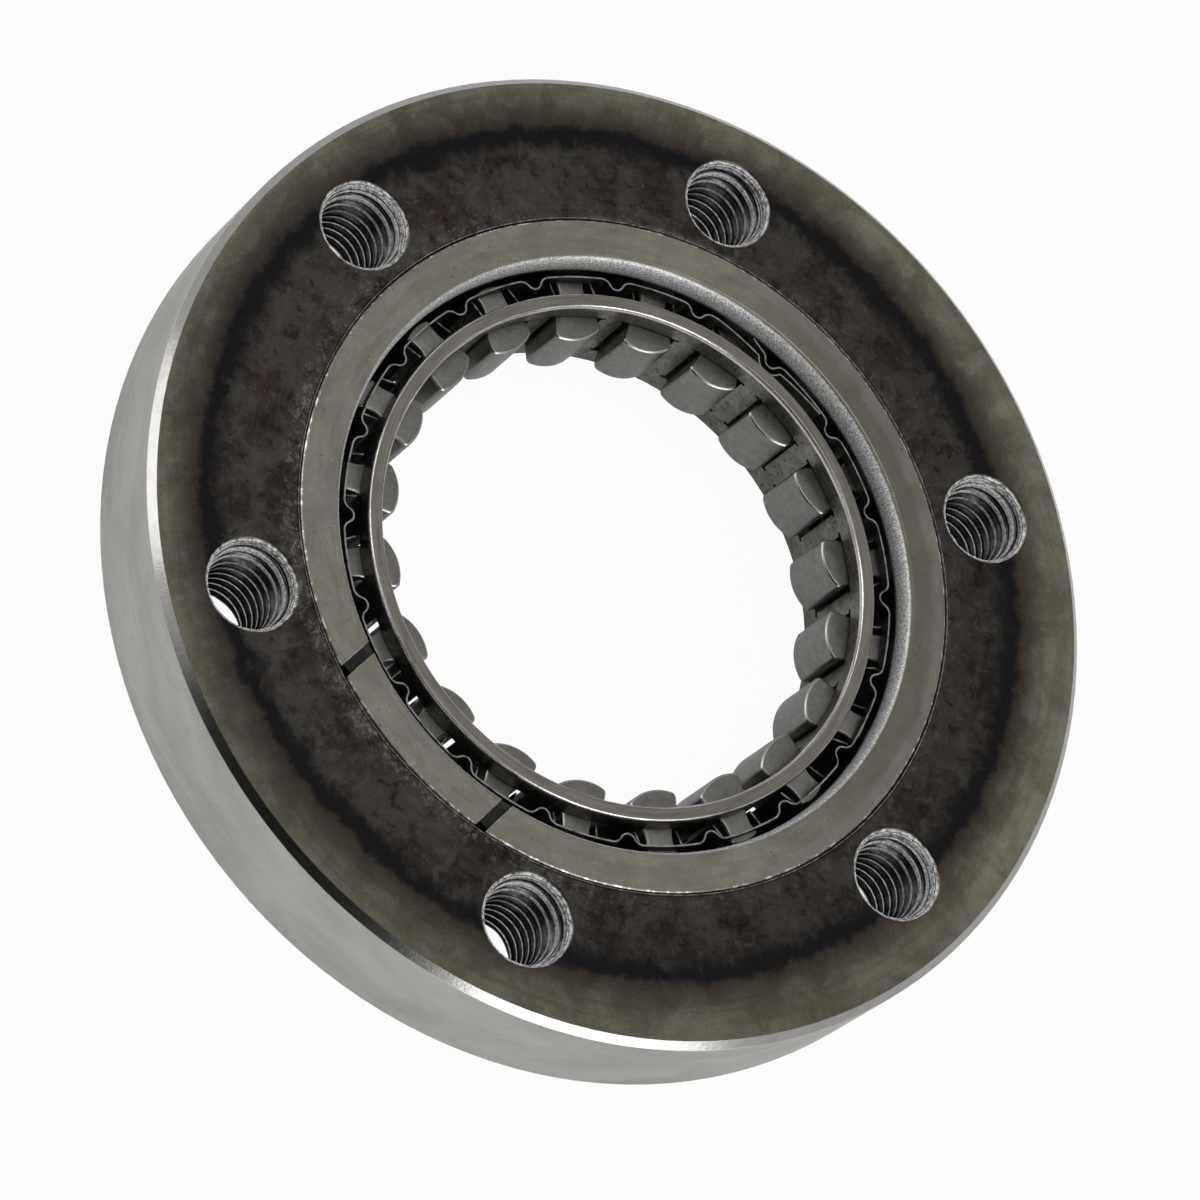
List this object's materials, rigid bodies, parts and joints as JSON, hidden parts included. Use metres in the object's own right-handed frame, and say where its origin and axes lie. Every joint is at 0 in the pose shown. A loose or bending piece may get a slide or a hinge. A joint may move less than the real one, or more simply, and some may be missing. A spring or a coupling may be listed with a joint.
{
  "type": "sprag clutch",
  "caption": "One-way clutch: a thick bolt-on steel ring with a pressed-in race, a windowed cage, a waved ribbon spring and rocking sprags.",
  "frame": {"origin": "centre of the back face, on the clutch axis", "axes": "+Z along the clutch axis towards the front face, +X through one bolt hole"},
  "size_m": [0.0904, 0.0904, 0.0123],
  "materials": {
    "housing_steel": "machined face, heat-tinted and lightly stained, satin side wall",
    "race_steel": "ground face, bead-blasted lead-in, dark bore",
    "cage_steel": "satin stamped steel with polished rims",
    "spring_steel": "dark spring strip with bright edges",
    "sprag_steel": "satin hardened steel with bright tumbled edges"
  },
  "bodies": {
    "clutch_housing": {"housing": "housing_steel", "outer_race": "race_steel"},
    "sprag_cage": {"inner_cage": "cage_steel", "ribbon_spring": "spring_steel"},
    "sprag_01_body": {"sprag_01": "sprag_steel"},
    "sprag_02_body": {"sprag_02": "sprag_steel"},
    "sprag_03_body": {"sprag_03": "sprag_steel"},
    "sprag_04_body": {"sprag_04": "sprag_steel"},
    "sprag_05_body": {"sprag_05": "sprag_steel"},
    "sprag_06_body": {"sprag_06": "sprag_steel"},
    "sprag_07_body": {"sprag_07": "sprag_steel"},
    "sprag_08_body": {"sprag_08": "sprag_steel"},
    "sprag_09_body": {"sprag_09": "sprag_steel"},
    "sprag_10_body": {"sprag_10": "sprag_steel"},
    "sprag_11_body": {"sprag_11": "sprag_steel"},
    "sprag_12_body": {"sprag_12": "sprag_steel"},
    "sprag_13_body": {"sprag_13": "sprag_steel"},
    "sprag_14_body": {"sprag_14": "sprag_steel"},
    "sprag_15_body": {"sprag_15": "sprag_steel"},
    "sprag_16_body": {"sprag_16": "sprag_steel"},
    "sprag_17_body": {"sprag_17": "sprag_steel"},
    "sprag_18_body": {"sprag_18": "sprag_steel"},
    "sprag_19_body": {"sprag_19": "sprag_steel"},
    "sprag_20_body": {"sprag_20": "sprag_steel"}
  },
  "joints": [
    {"name": "cage_spin", "type": "hinge", "parent": "clutch_housing", "child": "sprag_cage", "pos_m": [0, 0, 0.0059], "axis": [0, 0, 1], "continuous": true},
    {"name": "sprag_01_tilt", "type": "hinge", "parent": "sprag_cage", "child": "sprag_01_body", "pos_m": [0.02409, 0.00296, 0.0059], "axis": [0, 0, -1], "range_deg": [0, 8]},
    {"name": "sprag_02_tilt", "type": "hinge", "parent": "sprag_cage", "child": "sprag_02_body", "pos_m": [0.022, 0.01026, 0.0059], "axis": [0, 0, -1], "range_deg": [0, 8]},
    {"name": "sprag_03_tilt", "type": "hinge", "parent": "sprag_cage", "child": "sprag_03_body", "pos_m": [0.01775, 0.01655, 0.0059], "axis": [0, 0, -1], "range_deg": [0, 8]},
    {"name": "sprag_04_tilt", "type": "hinge", "parent": "sprag_cage", "child": "sprag_04_body", "pos_m": [0.01177, 0.02123, 0.0059], "axis": [0, 0, -1], "range_deg": [0, 8]},
    {"name": "sprag_05_tilt", "type": "hinge", "parent": "sprag_cage", "child": "sprag_05_body", "pos_m": [0.00463, 0.02382, 0.0059], "axis": [0, 0, -1], "range_deg": [0, 8]},
    {"name": "sprag_06_tilt", "type": "hinge", "parent": "sprag_cage", "child": "sprag_06_body", "pos_m": [-0.00296, 0.02409, 0.0059], "axis": [0, 0, -1], "range_deg": [0, 8]},
    {"name": "sprag_07_tilt", "type": "hinge", "parent": "sprag_cage", "child": "sprag_07_body", "pos_m": [-0.01026, 0.022, 0.0059], "axis": [0, 0, -1], "range_deg": [0, 8]},
    {"name": "sprag_08_tilt", "type": "hinge", "parent": "sprag_cage", "child": "sprag_08_body", "pos_m": [-0.01655, 0.01775, 0.0059], "axis": [0, 0, -1], "range_deg": [0, 8]},
    {"name": "sprag_09_tilt", "type": "hinge", "parent": "sprag_cage", "child": "sprag_09_body", "pos_m": [-0.02123, 0.01177, 0.0059], "axis": [0, 0, -1], "range_deg": [0, 8]},
    {"name": "sprag_10_tilt", "type": "hinge", "parent": "sprag_cage", "child": "sprag_10_body", "pos_m": [-0.02382, 0.00463, 0.0059], "axis": [0, 0, -1], "range_deg": [0, 8]},
    {"name": "sprag_11_tilt", "type": "hinge", "parent": "sprag_cage", "child": "sprag_11_body", "pos_m": [-0.02409, -0.00296, 0.0059], "axis": [0, 0, -1], "range_deg": [0, 8]},
    {"name": "sprag_12_tilt", "type": "hinge", "parent": "sprag_cage", "child": "sprag_12_body", "pos_m": [-0.022, -0.01026, 0.0059], "axis": [0, 0, -1], "range_deg": [0, 8]},
    {"name": "sprag_13_tilt", "type": "hinge", "parent": "sprag_cage", "child": "sprag_13_body", "pos_m": [-0.01775, -0.01655, 0.0059], "axis": [0, 0, -1], "range_deg": [0, 8]},
    {"name": "sprag_14_tilt", "type": "hinge", "parent": "sprag_cage", "child": "sprag_14_body", "pos_m": [-0.01177, -0.02123, 0.0059], "axis": [0, 0, -1], "range_deg": [0, 8]},
    {"name": "sprag_15_tilt", "type": "hinge", "parent": "sprag_cage", "child": "sprag_15_body", "pos_m": [-0.00463, -0.02382, 0.0059], "axis": [0, 0, -1], "range_deg": [0, 8]},
    {"name": "sprag_16_tilt", "type": "hinge", "parent": "sprag_cage", "child": "sprag_16_body", "pos_m": [0.00296, -0.02409, 0.0059], "axis": [0, 0, -1], "range_deg": [0, 8]},
    {"name": "sprag_17_tilt", "type": "hinge", "parent": "sprag_cage", "child": "sprag_17_body", "pos_m": [0.01026, -0.022, 0.0059], "axis": [0, 0, -1], "range_deg": [0, 8]},
    {"name": "sprag_18_tilt", "type": "hinge", "parent": "sprag_cage", "child": "sprag_18_body", "pos_m": [0.01655, -0.01775, 0.0059], "axis": [0, 0, -1], "range_deg": [0, 8]},
    {"name": "sprag_19_tilt", "type": "hinge", "parent": "sprag_cage", "child": "sprag_19_body", "pos_m": [0.02123, -0.01177, 0.0059], "axis": [0, 0, -1], "range_deg": [0, 8]},
    {"name": "sprag_20_tilt", "type": "hinge", "parent": "sprag_cage", "child": "sprag_20_body", "pos_m": [0.02382, -0.00463, 0.0059], "axis": [0, 0, -1], "range_deg": [0, 8]}
  ],
  "couplings": [
    {"joint": "sprag_02_tilt", "follows": "sprag_01_tilt", "ratio": 1},
    {"joint": "sprag_03_tilt", "follows": "sprag_01_tilt", "ratio": 1},
    {"joint": "sprag_04_tilt", "follows": "sprag_01_tilt", "ratio": 1},
    {"joint": "sprag_05_tilt", "follows": "sprag_01_tilt", "ratio": 1},
    {"joint": "sprag_06_tilt", "follows": "sprag_01_tilt", "ratio": 1},
    {"joint": "sprag_07_tilt", "follows": "sprag_01_tilt", "ratio": 1},
    {"joint": "sprag_08_tilt", "follows": "sprag_01_tilt", "ratio": 1},
    {"joint": "sprag_09_tilt", "follows": "sprag_01_tilt", "ratio": 1},
    {"joint": "sprag_10_tilt", "follows": "sprag_01_tilt", "ratio": 1},
    {"joint": "sprag_11_tilt", "follows": "sprag_01_tilt", "ratio": 1},
    {"joint": "sprag_12_tilt", "follows": "sprag_01_tilt", "ratio": 1},
    {"joint": "sprag_13_tilt", "follows": "sprag_01_tilt", "ratio": 1},
    {"joint": "sprag_14_tilt", "follows": "sprag_01_tilt", "ratio": 1},
    {"joint": "sprag_15_tilt", "follows": "sprag_01_tilt", "ratio": 1},
    {"joint": "sprag_16_tilt", "follows": "sprag_01_tilt", "ratio": 1},
    {"joint": "sprag_17_tilt", "follows": "sprag_01_tilt", "ratio": 1},
    {"joint": "sprag_18_tilt", "follows": "sprag_01_tilt", "ratio": 1},
    {"joint": "sprag_19_tilt", "follows": "sprag_01_tilt", "ratio": 1},
    {"joint": "sprag_20_tilt", "follows": "sprag_01_tilt", "ratio": 1}
  ]
}
